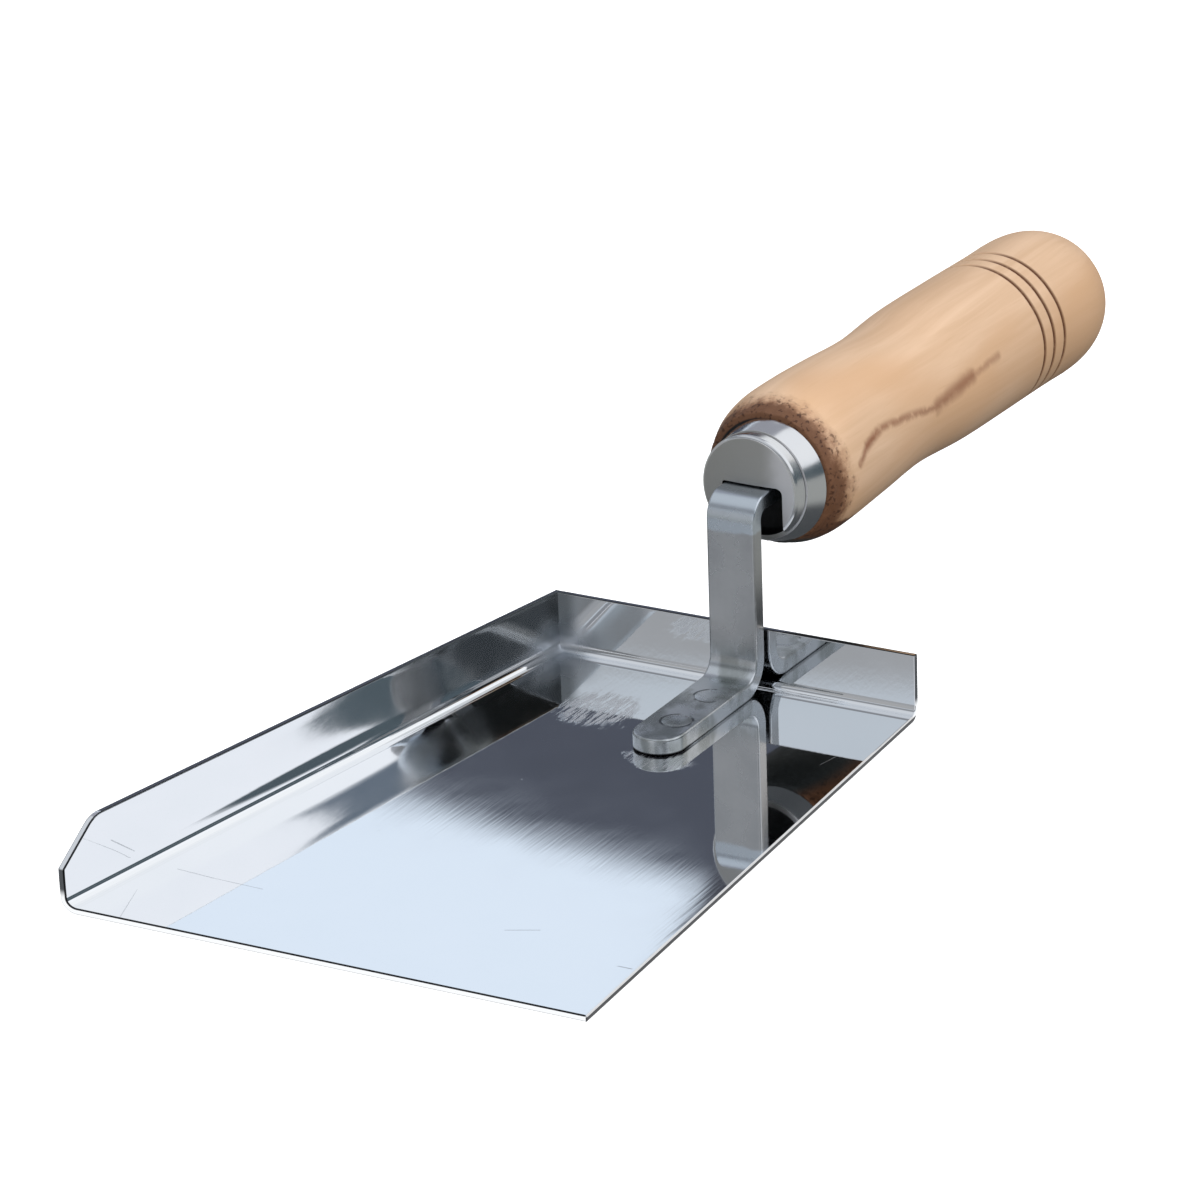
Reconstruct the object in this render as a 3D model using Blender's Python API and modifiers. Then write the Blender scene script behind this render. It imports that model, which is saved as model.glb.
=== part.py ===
"""Scoop trowel: a folded steel pan, a bent steel neck, a two-piece ferrule and a turned wooden handle.

Metres, +Z up. The origin is on the underside of the pan, halfway along the pan on the neck's centre line.
+Y runs from the open front edge to the handle, and +X to the pan's open side.
"""

from math import atan2, cos, pi, radians, sin, tan

import bmesh
import bpy
from mathutils import Matrix, Vector

MM = 0.001
GAP = 0.3 * MM  # clearance between two pieces that touch
CORNER_STEPS = 8  # segments in each round corner of an outline
OUTLINE_MERGE = 0.005 * MM
TURN_MERGE = 0.01 * MM

# Pan: inner faces of the sheet, on the plan
SHEET = 1.5 * MM
PAN_LENGTH = 168.2 * MM
FRONT_LEFT = 73.1 * MM  # from the centre line to the front left corner
FRONT_RIGHT = 52.6 * MM
BACK_LEFT = 47.8 * MM
BACK_RIGHT = 43.2 * MM
LEFT_BEND = 2.6 * MM  # inner radii of the two folds
BACK_BEND = 1.6 * MM
BEND_STEPS = 6
WALL_HEIGHT_FRONT = 17.4 * MM  # above the top of the base, where the wall's top line meets the front
WALL_HEIGHT_BACK = 14.0 * MM
NOSE_HEIGHT = 8.5 * MM  # the wall's upright front edge, below the cut-off corner
NOSE_LENGTH = 10.5 * MM
NOSE_RADIUS = 6.5 * MM  # at the top of the cut-off corner
NOSE_FOOT_RADIUS = 3.5 * MM
CUT_MARGIN = 20.0 * MM  # how far the large cutters reach past the sheet
HOLE_MARGIN = 1.0 * MM  # how far the small cutters reach past the metal

# Weld bead along the outer corner of the two walls
BEAD_RADIUS = 0.9 * MM
BEAD_BOTTOM = 4.0 * MM
BEAD_SIDES = 20

# Neck: one flat bar
BAR_WIDTH = 12.1 * MM
BAR_THICKNESS = 3.9 * MM
NECK_BACK = 167.1 * MM - PAN_LENGTH / 2
FOOT_END = 122.4 * MM - PAN_LENGTH / 2
FOOT_BEND = 4.5 * MM  # inner radius
SHOULDER_BEND = 1.8 * MM
NECK_TOP = 46.4 * MM  # top of the bar over the base
TANG_SHOULDER = 15.0 * MM  # from the ferrule's face to where the tang narrows
TANG_TIP = 82.0 * MM
TANG_TIP_WIDTH = 5.0 * MM
FOOT_ROUNDING = 0.98  # share of the half width taken by each round corner of the foot
FOOT_STEPS = 12

# Plug welds that hold the foot
WELD_RADIUS = 3.6 * MM
WELD_X = 1.0 * MM
FRONT_WELD_Y = 134.4 * MM - PAN_LENGTH / 2
REAR_WELD_Y = 150.0 * MM - PAN_LENGTH / 2
WELD_SIDES = 40

# Handle axis: from the plane of the ferrule's face, nearly level and nearly straight back
FACE_Y = 172.5 * MM - PAN_LENGTH / 2
FACE_HEIGHT = 45.3 * MM  # above the top of the base
HANDLE_X = 0.4 * MM
HANDLE_DROOP = radians(0.7)
HANDLE_YAW = radians(0.9)
TURN_STEPS = 48

# Ferrule: distances run back along the handle axis from the cap's face. It is a little narrower than
# it is tall, and leans off the axis as it runs back.
FERRULE_WIDTH = 0.96  # of its height
FERRULE_SHIFT = -0.4 * MM
FERRULE_LEAN_SIDE = 0.15
FERRULE_LEAN_DOWN = 0.04
CAP_RADIUS = 12.7 * MM
CAP_EDGE = 1.1 * MM
EDGE_STEPS = 5
CAP_DEPTH = 3.4 * MM
NOTCH_HALF_WIDTH = 8.6 * MM
NOTCH_TOP = NECK_TOP + GAP
NOTCH_RADIUS = 1.6 * MM
BAND_FRONT_RADIUS = 13.1 * MM
BAND_REAR_RADIUS = 14.5 * MM
BAND_END = 8.6 * MM
BAND_WALL = 1.3 * MM
BAND_EDGE = 0.5 * MM

# Handle: radius at stations along the axis, before the rounded rear end
SPIGOT_START = 5.0 * MM
SPIGOT_FRONT_RADIUS = 10.8 * MM
SPIGOT_REAR_RADIUS = 11.3 * MM
HANDLE_FRONT = BAND_END + GAP
STATIONS = (
    (HANDLE_FRONT, 15.6 * MM),
    (11.5 * MM, 16.4 * MM),
    (15.5 * MM, 17.6 * MM),
    (22.0 * MM, 18.0 * MM),
    (42.0 * MM, 17.1 * MM),
    (63.0 * MM, 16.1 * MM),
    (84.0 * MM, 17.2 * MM),
    (105.0 * MM, 17.4 * MM),
    (127.0 * MM, 17.5 * MM),
    (135.7 * MM, 17.7 * MM),
)
STATION_STEPS = 3
HANDLE_END = 158.0 * MM
END_STEPS = 9
END_POWER = 2.6  # 2 is an ellipse, and more is blunter
GROOVES = (113.2 * MM, 118.2 * MM, 123.6 * MM)
GROOVE_HALF_WIDTH = 0.8 * MM
GROOVE_DEPTH = 0.7 * MM
GROOVE_SHAPE = ((-1, 0), (-0.35, 0.8), (0, 1), (0.35, 0.8), (1, 0))  # shares of half width and depth
GROOVE_MARGIN = 1.2  # half widths kept clear of other points
BORE_RADIUS = 7.6 * MM  # round mouth of the tang hole
BORE_DEPTH = 14.0 * MM

STEEL_PAN = ("pan_steel", (0.62, 0.66, 0.70), 1.0, 0.12)
STEEL_BAR = ("neck_steel", (0.36, 0.36, 0.36), 1.0, 0.35)
STEEL_WELD = ("weld_steel", (0.40, 0.40, 0.40), 1.0, 0.45)
STEEL_FERRULE = ("ferrule_steel", (0.62, 0.63, 0.64), 1.0, 0.22)
WOOD = ("handle_wood", (0.68, 0.42, 0.23), 0.0, 0.55)


def clear_scene():
    for obj in list(bpy.data.objects):
        bpy.data.objects.remove(obj, do_unlink=True)


def collection(name):
    made = bpy.data.collections.new(name)
    bpy.context.scene.collection.children.link(made)
    return made


def material(name, colour, metallic, roughness):
    made = bpy.data.materials.new(name)
    made.use_nodes = True
    shader = made.node_tree.nodes["Principled BSDF"]
    shader.inputs["Base Color"].default_value = (*colour, 1.0)
    shader.inputs["Metallic"].default_value = metallic
    shader.inputs["Roughness"].default_value = roughness
    made.diffuse_color = (*colour, 1.0)
    return made


def add(name, mesh, group, finish=None, place=None):
    """An object in a collection, with its own material and place."""
    obj = bpy.data.objects.new(name, mesh)
    group.objects.link(obj)
    if place is not None:
        obj.matrix_world = place
    if finish is None:
        obj.hide_render = True
        obj.display_type = "WIRE"
    else:
        slot, *looks = finish
        mesh.materials.append(material(f"{name}_{slot}", *looks))
    return obj


def boolean(obj, operation, tool):
    modifier = obj.modifiers.new(f"{operation.lower()}_{tool.name}", "BOOLEAN")
    modifier.operation = operation
    modifier.object = tool
    modifier.solver = "EXACT"


def mesh_from(bm, name):
    mesh = bpy.data.meshes.new(name)
    bmesh.ops.recalc_face_normals(bm, faces=bm.faces)
    bm.to_mesh(mesh)
    bm.free()
    return mesh


def block(name, corners, bottom, top):
    """A box whose four uprights stand at plan corners, keyed by (is_right, is_back)."""
    bm = bmesh.new()
    bmesh.ops.create_cube(bm, size=1.0)
    for vertex in bm.verts:
        x, y = corners[(vertex.co.x > 0, vertex.co.y > 0)]
        vertex.co = Vector((x, y, top if vertex.co.z > 0 else bottom))
    return mesh_from(bm, name)


def cylinder(name, radius, bottom, top, sides, at=(0.0, 0.0)):
    bm = bmesh.new()
    bmesh.ops.create_cone(
        bm,
        cap_ends=True,
        segments=sides,
        radius1=radius,
        radius2=radius,
        depth=top - bottom,
        matrix=Matrix.Translation((at[0], at[1], (top + bottom) / 2)),
    )
    return mesh_from(bm, name)


def rounded(corners, steps=CORNER_STEPS):
    """A closed outline from (x, y, radius) corners, with an arc at each corner that has a radius."""
    points = []
    count = len(corners)
    for index, (x, y, radius) in enumerate(corners):
        here = Vector((x, y))
        before = Vector(corners[index - 1][:2])
        after = Vector(corners[(index + 1) % count][:2])
        if radius == 0:
            points.append(here)
            continue
        incoming = (here - before).normalized()
        outgoing = (after - here).normalized()
        turn = incoming.angle_signed(outgoing)
        reach = radius * tan(abs(turn) / 2)
        side = 1 if turn < 0 else -1
        normal = Vector((-incoming.y, incoming.x)) * side
        start = here - incoming * reach
        centre = start + normal * radius
        first = atan2(start.y - centre.y, start.x - centre.x)
        for step in range(steps + 1):
            angle = first + side * abs(turn) * step / steps
            points.append(centre + radius * Vector((cos(angle), sin(angle))))
    return points


def slab(name, outline, thickness, place=None):
    """A mesh of a flat outline, thick along its own Z, half on each side, then placed."""
    curve = bpy.data.curves.new(name, "CURVE")
    curve.dimensions = "2D"
    curve.fill_mode = "BOTH"
    curve.extrude = thickness / 2
    spline = curve.splines.new("POLY")
    spline.points.add(len(outline) - 1)
    for point, (x, y) in zip(spline.points, outline):
        point.co = (x, y, 0.0, 1.0)
    spline.use_cyclic_u = True
    obj = bpy.data.objects.new(name, curve)
    bpy.context.scene.collection.objects.link(obj)
    bpy.context.view_layer.update()
    evaluated = obj.evaluated_get(bpy.context.evaluated_depsgraph_get())
    mesh = bpy.data.meshes.new_from_object(evaluated)
    bpy.data.objects.remove(obj, do_unlink=True)
    bm = bmesh.new()
    bm.from_mesh(mesh)
    bpy.data.meshes.remove(mesh)
    bmesh.ops.remove_doubles(bm, verts=bm.verts, dist=OUTLINE_MERGE)
    if place is not None:
        bmesh.ops.transform(bm, matrix=place, verts=bm.verts)
    return mesh_from(bm, name)


def turned(name, profile, group, finish, place):
    """A solid of revolution. The profile is (radius, height) and runs down the outer side."""
    mesh = bpy.data.meshes.new(name)
    closed = profile[0][0] > 0
    count = len(profile)
    edges = [(index, index + 1) for index in range(count - 1)]
    if closed:
        edges.append((count - 1, 0))
    mesh.from_pydata([(radius, 0.0, height) for radius, height in profile], edges, [])
    obj = add(name, mesh, group, finish, place)
    screw = obj.modifiers.new("turn", "SCREW")
    screw.axis = "Z"
    screw.angle = 2 * pi
    screw.steps = TURN_STEPS
    screw.render_steps = TURN_STEPS
    screw.use_merge_vertices = True
    screw.merge_threshold = TURN_MERGE
    screw.use_smooth_shade = True
    return obj


def handle_frame():
    """Local Z points forward out of the ferrule's face, so heights along the handle are negative."""
    back = Vector((sin(HANDLE_YAW), cos(HANDLE_YAW), -sin(HANDLE_DROOP)))
    turn = (-back).to_track_quat("Z", "Y").to_matrix().to_4x4()
    return Matrix.Translation((HANDLE_X, FACE_Y, SHEET + FACE_HEIGHT)) @ turn


def lean_ferrule(obj):
    """Makes a turned ferrule piece a mesh, narrower than tall, leaning sideways and down as it runs back."""
    bpy.context.view_layer.update()
    evaluated = obj.evaluated_get(bpy.context.evaluated_depsgraph_get())
    mesh = bpy.data.meshes.new_from_object(evaluated)
    obj.modifiers.clear()
    lean = Matrix(
        (
            (FERRULE_WIDTH, 0, -FERRULE_LEAN_SIDE, FERRULE_SHIFT),
            (0, 1, FERRULE_LEAN_DOWN, 0),
            (0, 0, 1, 0),
            (0, 0, 0, 1),
        )
    )
    mesh.transform(lean)
    mesh.name = obj.name
    obj.data = mesh


def side_place():
    """Takes an outline drawn as (y, z) into the plane across X."""
    return Matrix(((0, 0, 1, 0), (1, 0, 0, 0), (0, 1, 0, 0), (0, 0, 0, 1)))


def pan_plan(inset, front_margin, right_margin):
    """Plan corners of the pan, moved in from the outer faces of its two walls by an inset."""
    front = -PAN_LENGTH / 2
    back = PAN_LENGTH / 2
    left = Vector((-BACK_LEFT + FRONT_LEFT, PAN_LENGTH)).normalized()
    right_slope = (BACK_RIGHT - FRONT_RIGHT) / PAN_LENGTH
    outward = SHEET - inset

    def left_x(y):
        return -FRONT_LEFT + (left.x * (y - front) - outward) / left.y

    def right_x(y):
        return FRONT_RIGHT + right_slope * (y - front) + right_margin

    near = front - front_margin
    far = back + outward
    return {
        (False, False): (left_x(near), near),
        (True, False): (right_x(near), near),
        (True, True): (right_x(far), far),
        (False, True): (left_x(far), far),
    }


def fold_edges(obj, left_radius, back_radius):
    """Rounds the bottom left and bottom back edges of a pan block, each to its own radius."""
    mesh = obj.data
    bm = bmesh.new()
    bm.from_mesh(mesh)
    weight = bm.edges.layers.float.new("bevel_weight_edge")
    largest = max(left_radius, back_radius)
    bottom = min(vertex.co.z for vertex in bm.verts)
    back = max(vertex.co.y for vertex in bm.verts)
    for edge in bm.edges:
        if any(vertex.co.z > bottom for vertex in edge.verts):
            continue
        if all(vertex.co.y == back for vertex in edge.verts):
            edge[weight] = back_radius / largest
        elif all(vertex.co.x < 0 for vertex in edge.verts):
            edge[weight] = left_radius / largest
    bm.to_mesh(mesh)
    bm.free()
    bevel = obj.modifiers.new("folds", "BEVEL")
    bevel.limit_method = "WEIGHT"
    bevel.width = largest
    bevel.segments = BEND_STEPS


def make_pan(parts, cutters):
    top = SHEET + WALL_HEIGHT_FRONT + CUT_MARGIN
    outer = pan_plan(0.0, 0.0, 0.0)
    inner = pan_plan(SHEET, CUT_MARGIN, CUT_MARGIN)
    pan = add("pan", block("pan", outer, 0.0, top - CUT_MARGIN / 2), parts, STEEL_PAN)
    fold_edges(pan, LEFT_BEND + SHEET, BACK_BEND + SHEET)

    hollow = add("pan_hollow", block("pan_hollow", inner, SHEET, top), cutters)
    fold_edges(hollow, LEFT_BEND, BACK_BEND)
    boolean(pan, "DIFFERENCE", hollow)

    front = -PAN_LENGTH / 2
    back = PAN_LENGTH / 2 + SHEET
    slope = (WALL_HEIGHT_BACK - WALL_HEIGHT_FRONT) / PAN_LENGTH
    nose_top = SHEET + WALL_HEIGHT_FRONT + slope * NOSE_LENGTH
    outline = rounded(
        [
            (front - CUT_MARGIN, SHEET + NOSE_HEIGHT - CUT_MARGIN, 0),
            (front, SHEET + NOSE_HEIGHT, NOSE_FOOT_RADIUS),
            (front + NOSE_LENGTH, nose_top, NOSE_RADIUS),
            (back, SHEET + WALL_HEIGHT_BACK, 0),
            (back + CUT_MARGIN, SHEET + WALL_HEIGHT_BACK, 0),
            (back + CUT_MARGIN, top + CUT_MARGIN, 0),
            (front - CUT_MARGIN, top + CUT_MARGIN, 0),
        ]
    )
    width = 2 * (FRONT_LEFT + CUT_MARGIN)
    profile = add("wall_profile", slab("wall_profile", outline, width, side_place()), cutters)
    boolean(pan, "DIFFERENCE", profile)

    corner = outer[(False, True)]
    seam_mesh = cylinder("weld_seam", BEAD_RADIUS + GAP, -HOLE_MARGIN, top, BEAD_SIDES, corner)
    boolean(pan, "DIFFERENCE", add("weld_seam", seam_mesh, cutters))
    return corner


def make_corner_weld(parts, corner):
    top = SHEET + WALL_HEIGHT_BACK - GAP
    mesh = cylinder("corner_weld", BEAD_RADIUS, BEAD_BOTTOM, top, BEAD_SIDES, corner)
    add("corner_weld", mesh, parts, STEEL_WELD)


def bar_profile(clearance):
    """Side outline of the bar as (y, z): foot, upright, shoulder and tang."""
    bottom = SHEET + GAP - clearance
    foot_top = SHEET + GAP + BAR_THICKNESS + clearance
    back = NECK_BACK + clearance
    face = NECK_BACK - BAR_THICKNESS - clearance
    top = SHEET + NECK_TOP + clearance
    under = SHEET + NECK_TOP - BAR_THICKNESS - clearance
    end = FACE_Y + TANG_TIP + clearance
    fall = tan(HANDLE_DROOP)
    tip_top = top - fall * (end - FACE_Y)
    tip_under = under - fall * (end - FACE_Y)
    return rounded(
        [
            (FOOT_END - clearance, bottom, 0),
            (back, bottom, FOOT_BEND + BAR_THICKNESS),
            (back, under, SHOULDER_BEND),
            (end, tip_under, 0),
            (end, tip_top, 0),
            (face, top, SHOULDER_BEND + BAR_THICKNESS),
            (face, foot_top, FOOT_BEND),
            (FOOT_END - clearance, foot_top, 0),
        ]
    )


def bar_plan(clearance):
    """Plan outline of the bar: a round foot end, straight sides, and a tang that narrows to its tip."""
    half = BAR_WIDTH / 2 + clearance
    tip = TANG_TIP_WIDTH / 2 + clearance
    shoulder = FACE_Y + TANG_SHOULDER
    end = FACE_Y + TANG_TIP + clearance
    lean = tan(HANDLE_YAW)
    shift = lean * (end - FACE_Y)
    front = FOOT_END - clearance
    return rounded(
        [
            (-half, front, half * FOOT_ROUNDING),
            (half, front, half * FOOT_ROUNDING),
            (half, shoulder, 0),
            (tip + shift, end, 0),
            (-tip + shift, end, 0),
            (-half, shoulder, 0),
        ],
        steps=FOOT_STEPS,
    )


def bar_solid(name, clearance, group, cutters, finish):
    width = 2 * BAR_WIDTH
    bar = add(name, slab(name, bar_profile(clearance), width, side_place()), group, finish)
    height = SHEET + NECK_TOP + CUT_MARGIN
    lift = Matrix.Translation((0.0, 0.0, height / 2))
    plan_name = f"{name}_plan"
    plan_mesh = slab(plan_name, bar_plan(clearance), 2 * height, lift)
    boolean(bar, "INTERSECT", add(plan_name, plan_mesh, cutters))
    return bar


def make_neck(parts, cutters):
    neck = bar_solid("neck", 0.0, parts, cutters, STEEL_BAR)
    foot_top = SHEET + GAP + BAR_THICKNESS
    for name, y in (("front_plug_weld", FRONT_WELD_Y), ("rear_plug_weld", REAR_WELD_Y)):
        hole_name = f"{name}_hole"
        hole_top = foot_top + HOLE_MARGIN
        hole_mesh = cylinder(hole_name, WELD_RADIUS + GAP, 0.0, hole_top, WELD_SIDES, (WELD_X, y))
        boolean(neck, "DIFFERENCE", add(hole_name, hole_mesh, cutters))
        plug_mesh = cylinder(name, WELD_RADIUS, SHEET + GAP, foot_top, WELD_SIDES, (WELD_X, y))
        add(name, plug_mesh, parts, STEEL_WELD)


def make_cap(parts, cutters, place):
    arc = [pi / 2 * step / EDGE_STEPS for step in range(EDGE_STEPS + 1)]
    rim = [
        (CAP_RADIUS - CAP_EDGE * (1 - sin(angle)), -CAP_EDGE * (1 - cos(angle)))
        for angle in arc
    ]
    profile = [(0.0, 0.0), *rim, (CAP_RADIUS, -CAP_DEPTH), (0.0, -CAP_DEPTH)]
    cap = turned("ferrule_cap", profile, parts, STEEL_FERRULE, place)
    lean_ferrule(cap)
    top = SHEET + NOTCH_TOP
    bottom = SHEET + FACE_HEIGHT - CAP_RADIUS - CUT_MARGIN
    outline = rounded(
        [
            (-NOTCH_HALF_WIDTH, bottom, 0),
            (NOTCH_HALF_WIDTH, bottom, 0),
            (NOTCH_HALF_WIDTH, top, NOTCH_RADIUS),
            (-NOTCH_HALF_WIDTH, top, NOTCH_RADIUS),
        ]
    )
    across = Matrix(((1, 0, 0, 0), (0, 0, 1, FACE_Y), (0, 1, 0, 0), (0, 0, 0, 1)))
    notch = slab("cap_notch", outline, 2 * CUT_MARGIN, across)
    boolean(cap, "DIFFERENCE", add("cap_notch", notch, cutters))


def make_band(parts, place):
    start = CAP_DEPTH + GAP
    inner_front = BAND_FRONT_RADIUS - BAND_WALL
    inner_rear = BAND_REAR_RADIUS - BAND_WALL
    profile = [
        (inner_front, -start),
        (BAND_FRONT_RADIUS - BAND_EDGE, -start),
        (BAND_FRONT_RADIUS, -start - BAND_EDGE),
        (BAND_REAR_RADIUS, -BAND_END),
        (inner_rear, -BAND_END),
    ]
    lean_ferrule(turned("ferrule_band", profile, parts, STEEL_FERRULE, place))


def smooth_through(stations, steps):
    """Points on a smooth curve through stations (Catmull-Rom)."""
    points = []
    last = len(stations) - 1
    for index in range(last):
        p1 = Vector(stations[index])
        p2 = Vector(stations[index + 1])
        p0 = Vector(stations[index - 1]) if index > 0 else 2 * p1 - p2
        p3 = Vector(stations[index + 2]) if index + 1 < last else 2 * p2 - p1
        for step in range(steps):
            t = step / steps
            points.append(
                0.5
                * (
                    2 * p1
                    + (p2 - p0) * t
                    + (2 * p0 - 5 * p1 + 4 * p2 - p3) * t**2
                    + (3 * p1 - p0 - 3 * p2 + p3) * t**3
                )
            )
    points.append(Vector(stations[last]))
    return points


def radius_at(curve, distance):
    """Radius of the wood at a distance along the axis."""
    for (start, r_start), (end, r_end) in zip(curve, curve[1:]):
        if start <= distance <= end:
            return r_start + (r_end - r_start) * (distance - start) / (end - start)
    raise ValueError(f"no wood at {distance}")


def handle_profile():
    body = smooth_through(STATIONS, STATION_STEPS)
    cuts = []
    for groove in GROOVES:
        for offset, depth in GROOVE_SHAPE:
            distance = groove + offset * GROOVE_HALF_WIDTH
            cuts.append((distance, radius_at(body, distance) - depth * GROOVE_DEPTH))
    near_groove = GROOVE_MARGIN * GROOVE_HALF_WIDTH
    kept = [
        (distance, radius)
        for distance, radius in body
        if all(abs(distance - groove) > near_groove for groove in GROOVES)
    ]
    outer = sorted(kept + cuts)
    end_start, end_radius = STATIONS[-1]
    reach = HANDLE_END - end_start
    for step in range(1, END_STEPS):
        angle = pi / 2 * step / END_STEPS
        along = sin(angle) ** (2 / END_POWER)
        across = cos(angle) ** (2 / END_POWER)
        outer.append((end_start + reach * along, end_radius * across))
    outer.append((HANDLE_END, 0.0))
    return outer


def make_handle(parts, cutters, place):
    profile = [
        (0.0, -SPIGOT_START),
        (SPIGOT_FRONT_RADIUS, -SPIGOT_START),
        (SPIGOT_REAR_RADIUS, -HANDLE_FRONT),
    ]
    profile += [(radius, -distance) for distance, radius in handle_profile()]
    handle = turned("handle", profile, parts, WOOD, place)

    bar_hole = bar_solid("tang_hole", GAP, cutters, cutters, None)
    boolean(handle, "DIFFERENCE", bar_hole)
    mouth_mesh = cylinder("tang_mouth", BORE_RADIUS, -SPIGOT_START - BORE_DEPTH, 0.0, WELD_SIDES)
    boolean(handle, "DIFFERENCE", add("tang_mouth", mouth_mesh, cutters, None, place))


def main():
    clear_scene()
    parts = collection("scoop_trowel")
    cutters = collection("cutters")
    place = handle_frame()
    corner = make_pan(parts, cutters)
    make_corner_weld(parts, corner)
    make_neck(parts, cutters)
    make_cap(parts, cutters, place)
    make_band(parts, place)
    make_handle(parts, cutters, place)
    bpy.context.view_layer.update()


main()
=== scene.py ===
from math import atan2, cos, exp, pi, radians, sin, tan

import bmesh
import bpy
import numpy as np
from mathutils import Matrix, Vector, noise


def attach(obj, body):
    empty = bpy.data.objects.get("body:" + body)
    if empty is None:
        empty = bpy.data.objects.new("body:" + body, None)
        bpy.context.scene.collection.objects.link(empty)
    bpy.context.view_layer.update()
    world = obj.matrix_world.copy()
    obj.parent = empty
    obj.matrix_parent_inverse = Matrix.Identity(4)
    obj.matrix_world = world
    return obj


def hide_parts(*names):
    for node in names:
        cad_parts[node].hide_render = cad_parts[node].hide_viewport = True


MM = 0.001

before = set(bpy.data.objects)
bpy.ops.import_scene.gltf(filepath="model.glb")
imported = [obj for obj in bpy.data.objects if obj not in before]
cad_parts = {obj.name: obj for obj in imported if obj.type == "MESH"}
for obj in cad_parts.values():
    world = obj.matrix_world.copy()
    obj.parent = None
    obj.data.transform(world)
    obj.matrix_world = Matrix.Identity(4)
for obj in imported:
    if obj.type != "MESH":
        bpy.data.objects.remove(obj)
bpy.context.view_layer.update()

# ---------------------------------------------------------------- sizes, as in the CAD part
SHEET = 1.5 * MM
PAN_LENGTH = 168.2 * MM
FRONT_LEFT, FRONT_RIGHT = 73.1 * MM, 52.6 * MM
BACK_LEFT, BACK_RIGHT = 47.8 * MM, 43.2 * MM
LEFT_BEND, BACK_BEND = 2.6 * MM, 1.6 * MM
# how far the left fold stays open, by distance along the pan, both in mm
SPRING = (
    (-84.1, 0.14),
    (-40.0, 0.27),
    (-6.0, 0.40),
    (20.0, 0.38),
    (33.0, 0.28),
    (62.0, 0.08),
    (84.0, 0.02),
)
SPRING_REACH = 2.0 * MM
WALL_FRONT, WALL_BACK = 17.4 * MM, 14.0 * MM
NOSE_HEIGHT, NOSE_LENGTH = 8.5 * MM, 10.5 * MM
NOSE_RADIUS, NOSE_FOOT_RADIUS = 6.5 * MM, 3.5 * MM
PAN_ROUNDING = 0.30 * MM
FOLD_SEGMENTS = 20
# how far cutting tools reach past what they cut
MARGIN = 20 * MM

BAR_WIDTH, BAR_THICKNESS = 12.1 * MM, 3.9 * MM
BAR_LIFT = SHEET + 0.05 * MM
NECK_BACK = 167.1 * MM - PAN_LENGTH / 2
FOOT_END = 122.4 * MM - PAN_LENGTH / 2
FOOT_BEND, SHOULDER_BEND = 4.5 * MM, 1.8 * MM
NECK_TOP = 46.4 * MM
NECK_ROUNDING = 0.55 * MM
# the tang: where it starts to taper and where it ends, from the ferrule's face, and half its width there
TANG_TAPER, TANG_END, TANG_TIP = 15 * MM, 60 * MM, 3.2 * MM
WELD_RADIUS, WELD_X = 3.6 * MM, 1.0 * MM
FRONT_WELD_Y = 134.4 * MM - PAN_LENGTH / 2
REAR_WELD_Y = 150.0 * MM - PAN_LENGTH / 2
# the top of a plug weld: radius and rise, in mm
PLUG_RINGS = ((2.2, 0.02), (3.1, 0.02), (3.45, -0.04), (3.58, -0.3))
BEAD_RADIUS, BEAD_INSET, BEAD_FOOT = 0.95 * MM, 0.15 * MM, 3.2 * MM

# start, end and half width of the visible scratches in the pan
SCRATCHES = (
    ((-0.0619, -0.0576, SHEET), (-0.0525, -0.0584, SHEET), 0.00024),
    ((-0.0525, -0.0584, SHEET), (-0.0400, -0.0588, SHEET), 0.00014),
    ((0.0170, -0.0550, SHEET), (0.0236, -0.0519, SHEET), 0.00014),
    ((0.0469, -0.0605, SHEET), (0.0502, -0.0605, SHEET), 0.00016),
    ((-0.0708, -0.0690, 0.0112), (-0.0698, -0.0620, 0.0060), 0.00022),
    ((-0.0530, 0.0160, 0.0115), (-0.0525, 0.0170, 0.0065), 0.00012),
    ((-0.0535, 0.0100, 0.0105), (-0.0510, 0.0190, 0.0045), 0.00012),
    ((0.0369, 0.0497, SHEET), (0.0379, 0.0550, SHEET), 0.00018),
)

FACE_Y = 172.5 * MM - PAN_LENGTH / 2
FACE_HEIGHT = 45.3 * MM
HANDLE_X = 0.4 * MM
DROOP, YAW = radians(0.7), radians(0.9)
CAP_RADIUS, CAP_EDGE, CAP_DEPTH, CAP_DOME = 12.7 * MM, 1.1 * MM, 3.45 * MM, 0.6 * MM
NOTCH_LEFT, NOTCH_RIGHT, NOTCH_GAP = -6.5 * MM, 8.6 * MM, 0.3 * MM
BAND_START, BAND_END, BAND_WALL = 3.6 * MM, 8.75 * MM, 1.3 * MM
BAND_FRONT_RADIUS, BAND_REAR_RADIUS = 13.1 * MM, 14.5 * MM

# the turned wood: where it starts, where its rounded end starts, its end and that end's radius, in mm
WOOD_START, WOOD_ROUND, WOOD_END, WOOD_END_RADIUS = 8.9, 135.7, 158.0, 17.7
WOOD_FRONT_RADIUS, BORE_END = 15.1, 5.9
# 2 would make the rounded end an ellipse; more makes it blunter
END_POWER = 2.6
# distance along the axis and radius, both in mm
STATIONS = (
    (11.5, 16.4),
    (15.5, 17.6),
    (22.0, 18.0),
    (42.0, 17.1),
    (63.0, 16.1),
    (84.0, 17.2),
    (105.0, 17.4),
    (127.0, 17.5),
    (WOOD_ROUND, WOOD_END_RADIUS),
)
GROOVES = (113.2, 118.2, 123.6)
GROOVE_HALF_WIDTH, GROOVE_DEPTH = 0.75, 0.62
# how much fuller the upper left side is than the turned profile: distance along the axis and extra, in mm
FULLNESS = (
    (8.0, 0.0),
    (14.0, 0.1),
    (24.0, 0.6),
    (38.0, 1.15),
    (70.0, 1.45),
    (90.0, 1.35),
    (110.0, 1.1),
    (130.0, 0.8),
    (WOOD_END, 0.3),
)

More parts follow.
